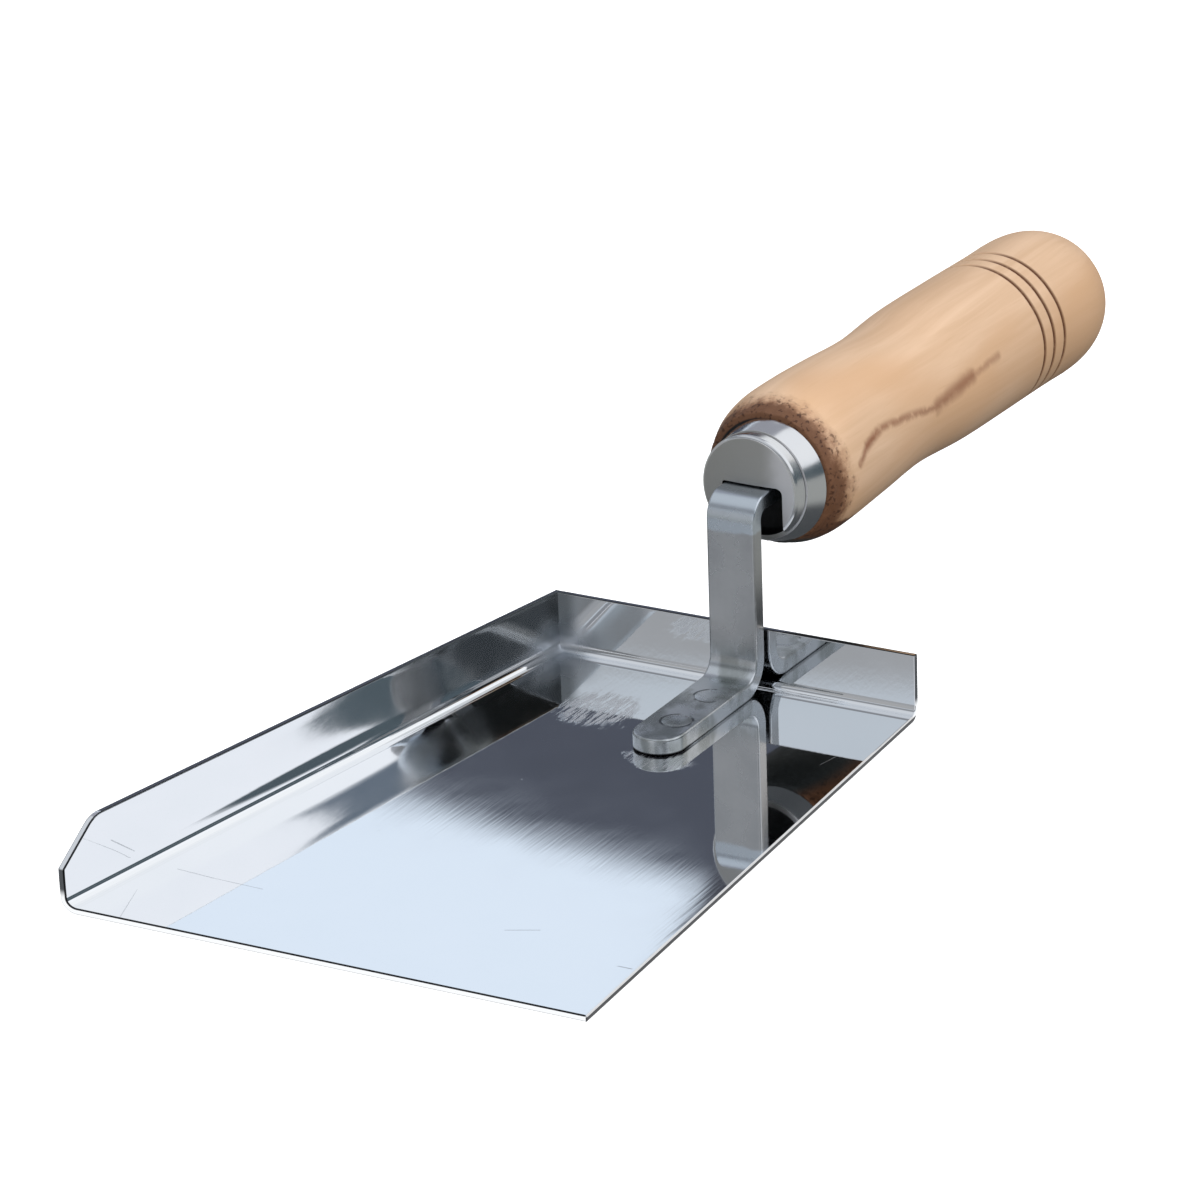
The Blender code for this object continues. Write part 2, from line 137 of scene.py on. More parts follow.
# the flaw in the wood, in the handle frame (across, up, back): start, end, half width, strength
FLAWS = (
    ((0.0176, 0.0026, 0.0193), (0.0171, 0.0052, 0.0233), 0.0016, 0.85),
    ((0.0171, 0.0052, 0.0233), (0.0162, 0.0068, 0.0314), 0.0019, 0.95),
    ((0.0162, 0.0068, 0.0314), (0.0161, 0.0049, 0.0467), 0.0015, 0.75),
    ((0.0161, 0.0049, 0.0467), (0.0160, 0.0026, 0.0603), 0.0015, 0.70),
    ((0.0160, 0.0026, 0.0603), (0.0161, 0.0047, 0.0777), 0.0029, 0.80),
    ((0.0161, 0.0047, 0.0777), (0.0163, 0.0055, 0.0907), 0.0016, 0.50),
)

# the camera and the lights; the camera is fitted to the photo
CAMERA_PLACE, CAMERA_LENS = (0.6826, -1.1801, 0.6016), 206.8
CAMERA_AZIMUTH, CAMERA_ELEVATION, CAMERA_ROLL = radians(29.641), radians(21.947), radians(-1.912)
LIGHT_TARGET = (0, 0.15, 0.04)
FLOOR_SIZE, FLOOR_DROP = 6.0, 0.02 * MM


# ---------------------------------------------------------------- modelling helpers
def link(name, mesh):
    obj = bpy.data.objects.new(name, mesh)
    bpy.context.scene.collection.objects.link(obj)
    return obj


def bake(obj):
    """Applies an object's modifiers."""
    bpy.context.view_layer.update()
    evaluated = obj.evaluated_get(bpy.context.evaluated_depsgraph_get())
    mesh = bpy.data.meshes.new_from_object(evaluated)
    obj.modifiers.clear()
    obj.data = mesh
    return obj


def boolean(obj, operation, tool):
    """Cuts or trims an object with a tool, which is then removed."""
    mod = obj.modifiers.new("cut", "BOOLEAN")
    mod.operation = operation
    mod.object = tool
    mod.solver = "EXACT"
    bake(obj)
    bpy.data.objects.remove(tool, do_unlink=True)
    return obj


def bevel(obj, width, segments, angle):
    """Rounds the sharp outer edges. The new strips get material index 1."""
    obj.data.materials.clear()
    obj.data.materials.append(None)
    obj.data.materials.append(None)
    bm = bmesh.new()
    bm.from_mesh(obj.data)
    layers = bm.edges.layers.float
    weight = layers.get("bevel_weight_edge") or layers.new("bevel_weight_edge")
    for edge in bm.edges:
        sharp = len(edge.link_faces) == 2 and edge.calc_face_angle() > radians(angle)
        edge[weight] = 1.0 if sharp and edge.is_convex else 0.0
    bm.to_mesh(obj.data)
    bm.free()
    mod = obj.modifiers.new("edges", "BEVEL")
    mod.material = 1
    mod.width = width
    mod.segments = segments
    mod.limit_method = "WEIGHT"
    mod.use_clamp_overlap = False
    mod.miter_outer = "MITER_ARC"
    mod.harden_normals = False
    return bake(obj)


def smooth(obj, angle):
    """Smooth shading where flat faces keep their own normals."""
    mesh = obj.data
    for polygon in mesh.polygons:
        polygon.use_smooth = True
    mesh.set_sharp_from_angle(angle=radians(angle))
    mod = obj.modifiers.new("weighted", "WEIGHTED_NORMAL")
    mod.mode = "FACE_AREA"
    mod.weight = 100
    mod.keep_sharp = True
    return bake(obj)


def rounded(corners, steps):
    """Turns corners of (x, y, radius) into an outline with arcs."""
    points = []
    count = len(corners)
    for index, (x, y, radius) in enumerate(corners):
        here = Vector((x, y))
        before = Vector(corners[index - 1][:2])
        after = Vector(corners[(index + 1) % count][:2])
        if radius == 0:
            points.append(here)
            continue
        incoming = (here - before).normalized()
        outgoing = (after - here).normalized()
        turn = incoming.angle_signed(outgoing)
        reach = radius * tan(abs(turn) / 2)
        side = 1 if turn < 0 else -1
        normal = Vector((-incoming.y, incoming.x)) * side
        start = here - incoming * reach
        centre = start + normal * radius
        first = atan2(start.y - centre.y, start.x - centre.x)
        for step in range(steps + 1):
            angle = first + side * abs(turn) * step / steps
            points.append(centre + radius * Vector((cos(angle), sin(angle))))
    return points


def prism(name, outline, low, high, place=None):
    """An outline stretched from z = low to z = high."""
    bm = bmesh.new()
    bottom = [bm.verts.new((x, y, low)) for x, y in outline]
    top = [bm.verts.new((x, y, high)) for x, y in outline]
    bm.faces.new(bottom[::-1])
    bm.faces.new(top)
    count = len(outline)
    for i in range(count):
        j = (i + 1) % count
        bm.faces.new((bottom[i], bottom[j], top[j], top[i]))
    bmesh.ops.remove_doubles(bm, verts=bm.verts, dist=0.004 * MM)
    if place is not None:
        bmesh.ops.transform(bm, matrix=place, verts=bm.verts)
    bmesh.ops.recalc_face_normals(bm, faces=bm.faces)
    return finish_mesh(name, bm)


def finish_mesh(name, bm):
    """Makes an object of a finished bmesh."""
    mesh = bpy.data.meshes.new(name)
    bm.to_mesh(mesh)
    bm.free()
    return link(name, mesh)


def handle_place():
    """From the handle frame, whose -Z runs back along the axis from the middle of the ferrule's face."""
    back = Vector((sin(YAW), cos(YAW), -sin(DROOP)))
    turn = (-back).to_track_quat("Z", "Y").to_matrix().to_4x4()
    return Matrix.Translation((HANDLE_X, FACE_Y, SHEET + FACE_HEIGHT)) @ turn


PLACE = handle_place()
# outline x, y, depth become world y, z, x
SIDE = Matrix(((0, 0, 1, 0), (1, 0, 0, 0), (0, 1, 0, 0), (0, 0, 0, 1)))


def ring(bm, centre, radius, around):
    """A level ring of vertices, or one vertex where the radius is 0."""
    x, y, z = centre
    if radius == 0:
        return [bm.verts.new(centre)]
    angles = (2 * pi * i / around for i in range(around))
    return [bm.verts.new((x + radius * cos(angle), y + radius * sin(angle), z)) for angle in angles]


def skin(bm, rings, around):
    """Faces from each ring to the next."""
    for a, b in zip(rings, rings[1:]):
        for i in range(around):
            j = (i + 1) % around
            if len(a) == 1:
                bm.faces.new((a[0], b[j], b[i]))
            elif len(b) == 1:
                bm.faces.new((a[i], a[j], b[0]))
            else:
                bm.faces.new((a[i], a[j], b[j], b[i]))


def turned(name, profile, around, shape, closed=True):
    """A form turned from rings of (radius, distance back). shape moves a point in the handle frame."""
    bm = bmesh.new()
    rings = [ring(bm, (0, 0, -back), radius, around) for radius, back in profile]
    if closed:
        rings.append(rings[0])
    skin(bm, rings, around)
    bmesh.ops.recalc_face_normals(bm, faces=bm.faces)
    for vertex in bm.verts:
        vertex.co = shape(vertex.co.copy())
    bmesh.ops.transform(bm, matrix=PLACE, verts=bm.verts)
    return finish_mesh(name, bm)


def mark(obj, name, value):
    """Stores value(face) on every face, for a material to read."""
    layer = obj.data.attributes.new(name, "FLOAT", "FACE")
    for polygon in obj.data.polygons:
        layer.data[polygon.index].value = value(polygon)


# ---------------------------------------------------------------- node helpers
class Nodes:
    """Short calls for building a node tree."""

    def __init__(self, tree):
        self.tree = tree
        tree.nodes.clear()

    def node(self, kind, **settings):
        made = self.tree.nodes.new(kind)
        for key, value in settings.items():
            setattr(made, key, value)
        return made

    def put(self, socket, value):
        if isinstance(value, bpy.types.NodeSocket):
            self.tree.links.new(value, socket)
        elif value is not None:
            socket.default_value = value

    def math(self, operation, a, b=None, clamp=False):
        made = self.node("ShaderNodeMath", operation=operation, use_clamp=clamp)
        self.put(made.inputs[0], a)
        self.put(made.inputs[1], b)
        return made.outputs[0]

    def add(self, a, b):
        return self.math("ADD", a, b)

    def less(self, a, b):
        return self.math("SUBTRACT", a, b)

    def times(self, a, b):
        return self.math("MULTIPLY", a, b)

    def most(self, values):
        """The largest of several values."""
        total = values[0]
        for value in values[1:]:
            total = self.math("MAXIMUM", total, value)
        return total

    def vec(self, operation, a, b=None, scale=None):
        made = self.node("ShaderNodeVectorMath", operation=operation)
        self.put(made.inputs[0], a)
        self.put(made.inputs[1], b)
        if scale is not None:
            self.put(made.inputs["Scale"], scale)
        return made.outputs["Value" if operation in ("DOT_PRODUCT", "LENGTH") else "Vector"]

    def span(self, value, low, high, out_low=0.0, out_high=1.0):
        """Runs smoothly from out_low at low to out_high at high, and stays there."""
        made = self.node("ShaderNodeMapRange", interpolation_type="SMOOTHSTEP")
        for socket, v in zip(made.inputs, (value, low, high, out_low, out_high)):
            self.put(socket, v)
        return made.outputs[0]

    def mix(self, factor, a, b):
        """Colour a where factor is 0 and b where it is 1."""
        made = self.node("ShaderNodeMix", data_type="RGBA", blend_type="MIX")
        self.put(made.inputs[0], factor)
        self.put(made.inputs[6], a)
        self.put(made.inputs[7], b)
        return made.outputs[2]

    def noise(self, vector, scale, detail=2.0, rough=0.5, distort=0.0):
        made = self.node("ShaderNodeTexNoise")
        self.put(made.inputs["Vector"], vector)
        self.put(made.inputs["Scale"], scale)
        self.put(made.inputs["Detail"], detail)
        self.put(made.inputs["Roughness"], rough)
        self.put(made.inputs["Distortion"], distort)
        return made.outputs[0]

    def mapping(self, vector, scale, rotate=(0, 0, 0)):
        made = self.node("ShaderNodeMapping")
        self.put(made.inputs["Vector"], vector)
        made.inputs["Scale"].default_value = scale
        made.inputs["Rotation"].default_value = rotate
        return made.outputs[0]

    def node_vector(self, value):
        """A vector that wanders around zero with a noise value."""
        joined = self.node("ShaderNodeCombineXYZ")
        centred = self.less(value, 0.5)
        for socket in joined.inputs:
            self.put(socket, centred)
        return joined.outputs[0]

    def bump(self, height, strength, distance, normal=None):
        made = self.node("ShaderNodeBump")
        self.put(made.inputs["Height"], height)
        self.put(made.inputs["Strength"], strength)
        self.put(made.inputs["Distance"], distance)
        self.put(made.inputs["Normal"], normal)
        return made.outputs[0]


def rgb(*values):
    return (*values, 1.0)


def grey(value):
    return rgb(value, value, value)


def new_material(name):
    made = bpy.data.materials.new(name)
    made.use_nodes = True
    nodes = Nodes(made.node_tree)
    shader = nodes.node("ShaderNodeBsdfPrincipled")
    out = nodes.node("ShaderNodeOutputMaterial")
    nodes.tree.links.new(shader.outputs[0], out.inputs[0])
    place = nodes.node("ShaderNodeTexCoord").outputs["Object"]
    return made, nodes, shader, place


def axis(n, place, index):
    """One coordinate of a point."""
    parts = n.node("ShaderNodeSeparateXYZ")
    n.put(parts.inputs[0], place)
    return parts.outputs[index]


def weld_rings(n, place):
    """Thin dark arcs around the two plug welds, broken by noise."""
    ragged = n.noise(place, 330, 2, 0.5)
    arcs = []
    for y in (FRONT_WELD_Y, REAR_WELD_Y):
        flat = n.vec("MULTIPLY", n.vec("SUBTRACT", place, (WELD_X, y, 0)), (1, 1, 0))
        away = n.math("ABSOLUTE", n.less(n.vec("LENGTH", flat), WELD_RADIUS))
        arcs.append(n.times(n.span(away, 0.55 * MM, 0.15 * MM), n.span(ragged, 0.40, 0.55)))
    return n.times(n.most(arcs), n.span(axis(n, place, 2), 7.5 * MM, 6.5 * MM))


def segment(n, point, start, end, width):
    """1 on the line from start to end, falling to 0 at width from it."""
    start, end = Vector(start), Vector(end)
    along = end - start
    offset = n.vec("SUBTRACT", point, tuple(start))
    t = n.math("MULTIPLY", n.vec("DOT_PRODUCT", offset, tuple(along)), 1 / along.length_squared, clamp=True)
    nearest = n.vec("SCALE", tuple(along), scale=t)
    away = n.vec("LENGTH", n.vec("SUBTRACT", offset, nearest))
    return n.span(away, width, 0.0)


def blob(n, point, centre, size):
    """A soft patch, 1 at the centre and 0 at size from it, per axis."""
    offset = n.vec("SUBTRACT", point, centre)
    scaled = n.vec("MULTIPLY", offset, tuple(1 / s for s in size))
    return n.span(n.vec("LENGTH", scaled), 1.0, 0.2)


# ---------------------------------------------------------------- materials
def beyond_right(n, place):
    """How far a point of the pan lies past its slanted right edge."""
    slope = (FRONT_RIGHT - BACK_RIGHT) / PAN_LENGTH
    edge = n.less((FRONT_RIGHT + BACK_RIGHT) / 2, n.times(axis(n, place, 1), slope))
    return n.less(axis(n, place, 0), edge)


def worn_strokes(n, place, ragged):
    """Strokes of wear on the pan beside and in front of the welded foot."""
    strokes = n.noise(n.mapping(place, (1700, 170, 400), (0, 0, radians(-9))), 1, 2, 0.6)
    beside = blob(n, place, (-0.0225, 0.0565, SHEET), (0.0150, 0.0150, 0.008))
    ahead = blob(n, place, (0.0035, 0.0375, SHEET), (0.0125, 0.0085, 0.008))
    patch = n.add(n.most([beside, ahead]), n.times(n.less(ragged, 0.5), 1.1))
    return n.math("MULTIPLY", n.span(patch, 0.25, 0.75), n.span(strokes, 0.40, 0.62), clamp=True)


def fine_marks(n, place, ragged):
    """Hairline scratches and a few pits."""
    lines = n.most([segment(n, place, start, end, width) for start, end, width in SCRATCHES])
    specks = n.node("ShaderNodeTexVoronoi", feature="F1")
    n.put(specks.inputs["Vector"], place)
    n.put(specks.inputs["Scale"], 75)
    pits = n.times(n.span(specks.outputs["Distance"], 0.035, 0.015), n.span(ragged, 0.50, 0.56))
    return n.most([n.times(lines, 0.75), pits])


def dark_edges(n, place):
    """The burr that the shear left along the cut edges, with its painted dark reflection, and painted
    shadow on the lower part of the right edge.
    """
    burr_and_reflection = n.node("ShaderNodeAttribute", attribute_name="burr_and_reflection").outputs["Fac"]
    # painted shadow on the lower part of the right edge's cut face
    low = n.span(axis(n, place, 2), 1.20 * MM, 1.08 * MM)
    return n.most([burr_and_reflection, n.times(low, n.span(beyond_right(n, place), -0.35 * MM, -0.15 * MM))])


def wall_dark_reflection(n, place):
    """Painted dark reflection on the rear part of the left wall, which is also made duller."""
    rear = n.span(axis(n, place, 1), 0.022, 0.034)
    left = n.span(axis(n, place, 0), -0.042, -0.046)
    return n.times(n.times(rear, left), n.span(axis(n, place, 2), SHEET + 2.4 * MM, SHEET + 4.2 * MM))


def make_pan_steel():
    made, n, shader, place = new_material("polished_pan_steel")
    cloud = n.noise(place, 60, 3, 0.55)
    fine = n.noise(n.mapping(place, (1300, 70, 900)), 1, 2)
    ragged = n.noise(place, 260, 3, 0.6)
    worn = worn_strokes(n, place, ragged)
    colour = n.mix(cloud, rgb(0.86, 0.88, 0.90), rgb(0.90, 0.91, 0.93))
    rough = n.add(n.span(cloud, 0.3, 0.7, 0.020, 0.034), n.times(worn, 0.34))
    # marks and burr on the steel, and painted dark reflection and shade: where, how strongly it shows, its
    # colour and how much it dulls the mirror
    # painted shade in the inner corner between the two walls
    corner_shade = blob(n, place, (-0.0460, 0.0815, 0.0035), (0.011, 0.014, 0.008))
    wall_dulling = n.span(cloud, 0.3, 0.7, 0.07, 0.13)
    layers = (
        (fine_marks(n, place, ragged), 0.45, rgb(0.35, 0.37, 0.40), 0.35),
        (dark_edges(n, place), 0.97, rgb(0.012, 0.013, 0.016), 0.3),
        (wall_dark_reflection(n, place), 0.60, rgb(0.12, 0.14, 0.145), wall_dulling),
        (corner_shade, 0.45, rgb(0.42, 0.47, 0.53), 0.28),
    )
    for layer, strength, tone, dulling in layers:
        colour = n.mix(n.times(layer, strength), colour, tone)
        rough = n.add(rough, n.times(layer, dulling))
    n.put(shader.inputs["Base Color"], colour)
    n.put(shader.inputs["Roughness"], rough)
    shader.inputs["Metallic"].default_value = 1.0
    # the sheet is slightly wavy, with a fine grain
    ripple = n.bump(n.noise(place, 16, 1.0, 0.4), 0.06, 0.35 * MM)
    height = n.add(n.times(fine, 0.45), n.times(worn, 3.0))
    n.put(shader.inputs["Normal"], n.bump(height, 0.12, 0.02 * MM, ripple))
    return made


def make_bar_steel():
    made, n, shader, place = new_material("satin_bar_steel")
    cloud = n.noise(place, 90, 4, 0.6)
    patches = n.noise(n.mapping(place, (140, 90, 60)), 1, 3, 0.55)
    grain = n.noise(n.mapping(place, (1700, 260, 60)), 1, 2, 0.6)
    height = axis(n, place, 2)
    colour = n.mix(n.span(cloud, 0.3, 0.7), rgb(0.48, 0.485, 0.49), rgb(0.56, 0.565, 0.57))
    foot = n.span(height, 0.016, 0.008)
    stain = n.mix(n.span(patches, 0.42, 0.60), rgb(0.34, 0.37, 0.37), rgb(0.66, 0.70, 0.74))
    colour = n.mix(n.times(foot, 0.8), colour, stain)
    # painted sheen: the rounded shoulder is painted paler and bluish, with a ragged lower edge
    edge = n.add(height, n.times(n.less(cloud, 0.5), 0.004))
    shoulder = n.span(edge, 0.0392, 0.0402)
    colour = n.mix(n.times(shoulder, 0.8), colour, rgb(0.66, 0.73, 0.80))
    # a small black nick in the shoulder
    nick = segment(n, place, (-0.0026, 0.0805, 0.0432), (-0.0018, 0.0805, 0.0441), 0.00045)
    colour = n.mix(nick, colour, rgb(0.02, 0.02, 0.025))
    # a dark line along the bottom of the foot
    shade = n.span(height, SHEET + 0.75 * MM, SHEET + 0.45 * MM)
    shade = n.times(shade, n.span(axis(n, place, 1), 0.050, 0.044, 0.30, 1.0))
    colour = n.mix(shade, colour, rgb(0.015, 0.015, 0.018))
    arcs = weld_rings(n, place)
    colour = n.mix(n.times(arcs, 0.85), colour, rgb(0.06, 0.07, 0.08))
    n.put(shader.inputs["Base Color"], colour)
    shader.inputs["Metallic"].default_value = 1.0
    n.put(shader.inputs["Roughness"], n.span(cloud, 0.2, 0.8, 0.22, 0.32))
    relief = n.less(n.times(grain, 0.3), n.times(arcs, 3.0))
    n.put(shader.inputs["Normal"], n.bump(relief, 0.15, 0.03 * MM))
    return made


def make_weld_steel():
    made, n, shader, place = new_material("ground_weld_steel")
    cloud = n.noise(place, 400, 3, 0.6)
    patches = n.noise(n.mapping(place, (140, 90, 60)), 1, 3, 0.55)
    colour = n.mix(n.span(patches, 0.42, 0.60), rgb(0.36, 0.39, 0.39), rgb(0.64, 0.68, 0.72))
    n.put(shader.inputs["Base Color"], n.mix(n.times(cloud, 0.25), colour, grey(0.30)))
    shader.inputs["Metallic"].default_value = 1.0
    n.put(shader.inputs["Roughness"], n.span(cloud, 0.2, 0.8, 0.22, 0.36))
    n.put(shader.inputs["Normal"], n.bump(cloud, 0.3, 0.05 * MM))
    return made


def make_ferrule_steel():
    made, n, shader, place = new_material("polished_ferrule_steel")
    cloud = n.noise(place, 120, 3, 0.55)
    turned_marks = n.noise(n.mapping(place, (200, 2500, 200)), 1, 2)
    # the flat face of the cap is duller, and painted shade makes it darker towards the left
    normal = n.node("ShaderNodeNewGeometry").outputs["Normal"]
    face = n.span(n.vec("DOT_PRODUCT", normal, (0.0, -1.0, 0.0)), 0.90, 0.97)
    turn = n.add(axis(n, place, 0), n.times(n.less(cloud, 0.5), 0.006))
    disc = n.mix(n.span(turn, 0.0030, 0.0100), rgb(0.45, 0.45, 0.44), rgb(0.74, 0.74, 0.76))
    colour = n.mix(face, rgb(0.74, 0.75, 0.76), disc)
    n.put(shader.inputs["Base Color"], colour)
    shader.inputs["Metallic"].default_value = 1.0
    rough = n.add(n.span(cloud, 0.2, 0.8, 0.14, 0.22), n.times(face, 0.25))
    n.put(shader.inputs["Roughness"], rough)
    n.put(shader.inputs["Normal"], n.bump(turned_marks, 0.08, 0.02 * MM))
    return made


def axis_position(n, place):
    """Distance back along the handle axis, and the point in the handle frame (across, up, back)."""
    rows = PLACE.inverted()
    x, y, z = (n.add(n.vec("DOT_PRODUCT", place, tuple(rows[i][:3])), rows[i][3]) for i in range(3))
    back = n.times(z, -1.0)
    joined = n.node("ShaderNodeCombineXYZ")
    for socket, value in zip(joined.inputs, (x, y, back)):
        n.put(socket, value)
    return back, joined.outputs[0]


def wood_flaw(n, local):
    """A brown flaw that wanders along the right side."""
    wander = n.noise(n.mapping(local, (240, 240, 240)), 1, 3, 0.6)
    moved = n.vec("ADD", local, n.vec("SCALE", n.node_vector(wander), scale=0.0028))
    lines = []
    for start, end, width, strength in FLAWS:
        lines.append(n.times(segment(n, moved, start, end, width), strength))
    return n.most(lines)


def groove_lines(n, local, back, grain):
    """Dark lines in the turned grooves, thinner towards the left."""
    lines = []
    for centre in GROOVES:
        away = n.math("ABSOLUTE", n.less(back, centre * MM))
        lines.append(n.span(away, 0.95 * MM, 0.35 * MM))
    groove_dark = n.times(n.most(lines), n.span(grain, 0.25, 0.50, 0.65, 1.0))
    return n.times(groove_dark, n.span(axis(n, local, 0), -0.006, 0.004, 0.25, 1.0))


def scorch_distance(n, local, back, edge):
    """Distance back from the front, less where the scorch reaches farther: below and at the lower right."""
    under = n.span(axis(n, local, 1), -0.0095, -0.0150)
    low_right = n.less(axis(n, local, 0), axis(n, local, 1))
    ragged = n.add(back, n.times(n.less(edge, 0.5), -0.0070))
    return n.less(n.less(ragged, n.times(under, 0.0200)), n.span(low_right, 0.006, 0.022, 0.0, 0.0018))


def make_wood():
    made, n, shader, place = new_material("turned_beech_wood")
    back, local = axis_position(n, place)
    long_grain = n.noise(n.mapping(local, (170, 170, 9)), 1, 4, 0.6, 0.4)
    fibres = n.noise(n.mapping(local, (1500, 1500, 60)), 1, 2, 0.5)
    cloud = n.noise(n.mapping(local, (38, 38, 16)), 1, 2, 0.5)
    colour = n.mix(n.span(long_grain, 0.3, 0.72), rgb(0.585, 0.385, 0.240), rgb(0.70, 0.485, 0.325))
    # painted shade: the right side is painted ruddier and darker, broken by random patches
    ruddy_tone_and_shade = n.span(n.add(cloud, n.times(axis(n, local, 0), 9.0)), 0.52, 0.75)
    # scorched front, with charred pores
    edge = n.noise(n.mapping(local, (300, 300, 300)), 1, 4, 0.65)
    distance = scorch_distance(n, local, back, edge)
    brown = n.span(distance, 0.0164, 0.0112)
    dark = n.span(distance, 0.0140, 0.0104)
    pores = n.noise(n.mapping(local, (900, 900, 900)), 1, 2, 0.5)
    char = n.times(brown, n.span(pores, 0.56, 0.64))
    # painted shade along the underside of the front part
    below = n.add(axis(n, local, 1), n.times(axis(n, local, 0), 0.3))
    underside_shade = n.times(n.span(below, -0.0106, -0.0136), n.span(back, 0.140, 0.090))
    # painted shade: the bore behind the ferrule is painted black
    across = n.vec("LENGTH", n.vec("MULTIPLY", local, (1, 1, 0)))
    bore_shade = n.times(n.span(across, 0.0142, 0.0138), n.span(back, 0.0095, 0.0090))
    layers = (
        (n.times(n.span(cloud, 0.40, 0.70), 0.6), rgb(0.73, 0.525, 0.365)),
        (n.times(n.span(fibres, 0.58, 0.85), 0.18), rgb(0.40, 0.21, 0.10)),
        (n.times(ruddy_tone_and_shade, 0.62), rgb(0.565, 0.325, 0.165)),
        (wood_flaw(n, local), rgb(0.24, 0.100, 0.052)),
        (groove_lines(n, local, back, long_grain), rgb(0.105, 0.040, 0.018)),
        (n.times(brown, 0.80), rgb(0.270, 0.130, 0.068)),
        (n.times(dark, 0.80), rgb(0.085, 0.032, 0.014)),
        (n.times(char, 0.85), rgb(0.05, 0.020, 0.010)),
        (underside_shade, rgb(0.040, 0.046, 0.046)),
        (bore_shade, rgb(0.006, 0.006, 0.007)),
    )
    for layer, tone in layers:
        colour = n.mix(layer, colour, tone)
    n.put(shader.inputs["Base Color"], colour)
    n.put(shader.inputs["Roughness"], n.span(long_grain, 0.2, 0.8, 0.62, 0.48))
    shader.inputs["Specular IOR Level"].default_value = 0.30
    relief = n.bump(fibres, 0.10, 0.04 * MM)
    n.put(shader.inputs["Normal"], n.bump(edge, n.times(brown, 0.6), 0.6 * MM, relief))
    return made


# ---------------------------------------------------------------- pieces
def left_edge(y):
    """x of the left wall's inner face."""
    return -FRONT_LEFT + (FRONT_LEFT - BACK_LEFT) * (y + PAN_LENGTH / 2) / PAN_LENGTH


def right_edge(y):
    """x of the pan's open right edge."""
    return FRONT_RIGHT + (BACK_RIGHT - FRONT_RIGHT) * (y + PAN_LENGTH / 2) / PAN_LENGTH


def pan_plan(inset, front_margin, right_margin):
    """Corners of the pan in plan: walls moved in by inset, open sides moved out by the margins."""
    front, back = -PAN_LENGTH / 2, PAN_LENGTH / 2
    left = Vector((-BACK_LEFT + FRONT_LEFT, PAN_LENGTH)).normalized()
    slope = (BACK_RIGHT - FRONT_RIGHT) / PAN_LENGTH
    outward = SHEET - inset

    def left_x(y):
        return -FRONT_LEFT + (left.x * (y - front) - outward) / left.y

    def right_x(y):
        return FRONT_RIGHT + slope * (y - front) + right_margin

    near, far = front - front_margin, back + outward
    return [(left_x(near), near), (right_x(near), near), (right_x(far), far), (left_x(far), far)]


def fold(obj, left_radius, back_radius):
    """Rounds the bottom edges of the left and back walls."""
    bm = bmesh.new()
    bm.from_mesh(obj.data)
    weight = bm.edges.layers.float.new("bevel_weight_edge")
    largest = max(left_radius, back_radius)
    bottom = min(v.co.z for v in bm.verts)
    back = max(v.co.y for v in bm.verts)
    for edge in bm.edges:
        if any(v.co.z > bottom for v in edge.verts):
            continue
        if all(v.co.y == back for v in edge.verts):
            edge[weight] = back_radius / largest
        elif all(v.co.x < 0 for v in edge.verts):
            edge[weight] = left_radius / largest
    bm.to_mesh(obj.data)
    bm.free()
    mod = obj.modifiers.new("folds", "BEVEL")
    mod.limit_method = "WEIGHT"
    mod.width = largest
    mod.segments = FOLD_SEGMENTS
    return bake(obj)


def make_pan():
    top = SHEET + WALL_FRONT + MARGIN
    pan = prism("polished_pan", pan_plan(0, 0, 0), 0, top - MARGIN / 2)
    fold(pan, LEFT_BEND + SHEET, BACK_BEND + SHEET)
    hollow = prism("hollow", pan_plan(SHEET, MARGIN, MARGIN), SHEET, top)
    fold(hollow, LEFT_BEND, BACK_BEND)
    boolean(pan, "DIFFERENCE", hollow)
    front, back = -PAN_LENGTH / 2, PAN_LENGTH / 2 + SHEET
    slope = (WALL_BACK - WALL_FRONT) / PAN_LENGTH
    outline = rounded(
        [
            (front - MARGIN, SHEET + NOSE_HEIGHT - MARGIN, 0),
            (front, SHEET + NOSE_HEIGHT, NOSE_FOOT_RADIUS),
            (front + NOSE_LENGTH, SHEET + WALL_FRONT + slope * NOSE_LENGTH, NOSE_RADIUS),
            (back, SHEET + WALL_BACK, 0),
            (back + MARGIN, SHEET + WALL_BACK, 0),
            (back + MARGIN, top + MARGIN, 0),
            (front - MARGIN, top + MARGIN, 0),
        ],
        steps=12,
    )
    reach = FRONT_LEFT + MARGIN
    boolean(pan, "DIFFERENCE", prism("wall_profile", outline, -reach, reach, SIDE))
    bevel(pan, PAN_ROUNDING, 3, 45)
    mark(pan, "burr_and_reflection", burr_and_reflection_value)
    spring_back(pan)
    return smooth(pan, 30)


def burr_and_reflection_value(face):
    """The cut edges carry a dark burr, heaviest on the inner side of the sheet; the darkening is also
    painted dark reflection, set by which way each bevel strip faces.
    """
    if face.material_index != 1:
        return 0.0
    x, y, z = face.center
    if x > right_edge(y) - 0.5 * MM and SHEET / 2 < z < 2 * SHEET:
        return 0.0
    inside = x - left_edge(y)
    if inside < 1.5 * MM and y > PAN_LENGTH / 2 - 1.5 * MM:
        return 0.8
    rise = z - SHEET
    if inside < LEFT_BEND and rise < LEFT_BEND:
        inner = Vector((inside - LEFT_BEND, rise - LEFT_BEND)).length < LEFT_BEND + SHEET / 2
    elif inside < LEFT_BEND:
        inner = inside > -SHEET / 2
    elif rise > BACK_BEND:
        inner = y < PAN_LENGTH / 2 + SHEET / 2
    else:
        inner = rise > -SHEET / 2
    if inner:
        return 1.0 if abs(face.normal.z) > 0.35 or y < -PAN_LENGTH / 2 + NOSE_LENGTH else 0.0
    return 0.8 if x > 0 else 0.35


